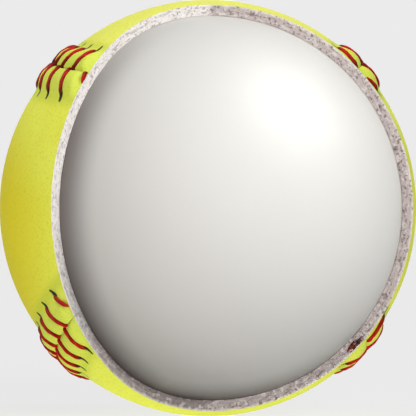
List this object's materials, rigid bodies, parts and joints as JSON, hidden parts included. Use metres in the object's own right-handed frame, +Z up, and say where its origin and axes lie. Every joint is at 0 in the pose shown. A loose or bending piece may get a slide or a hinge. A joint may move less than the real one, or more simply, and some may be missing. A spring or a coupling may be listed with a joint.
{
  "type": "cutaway softball",
  "caption": "Softball with a slice of its stitched yellow leather cover cut away at the front, showing the smooth white core inside.",
  "frame": {"origin": "centre of the ball, which is also the centre of the round cup that holds it", "axes": "+Z up as pictured, the cut-away side faces -Y, +X to the viewer's right"},
  "size_m": [0.097, 0.0952, 0.097],
  "materials": {
    "core": "smooth moulded skin with a soft gloss",
    "cover": "yellow pigmented grain side, white fibrous cut edge",
    "thread": "waxed twisted sewing thread"
  },
  "bodies": {
    "root": {"core": "core", "cover_left": "cover", "cover_right": "cover", "cover_back": "cover", "thread_left_even": "thread", "thread_left_odd": "thread", "thread_right_even": "thread", "thread_right_odd": "thread"}
  },
  "joints": []
}
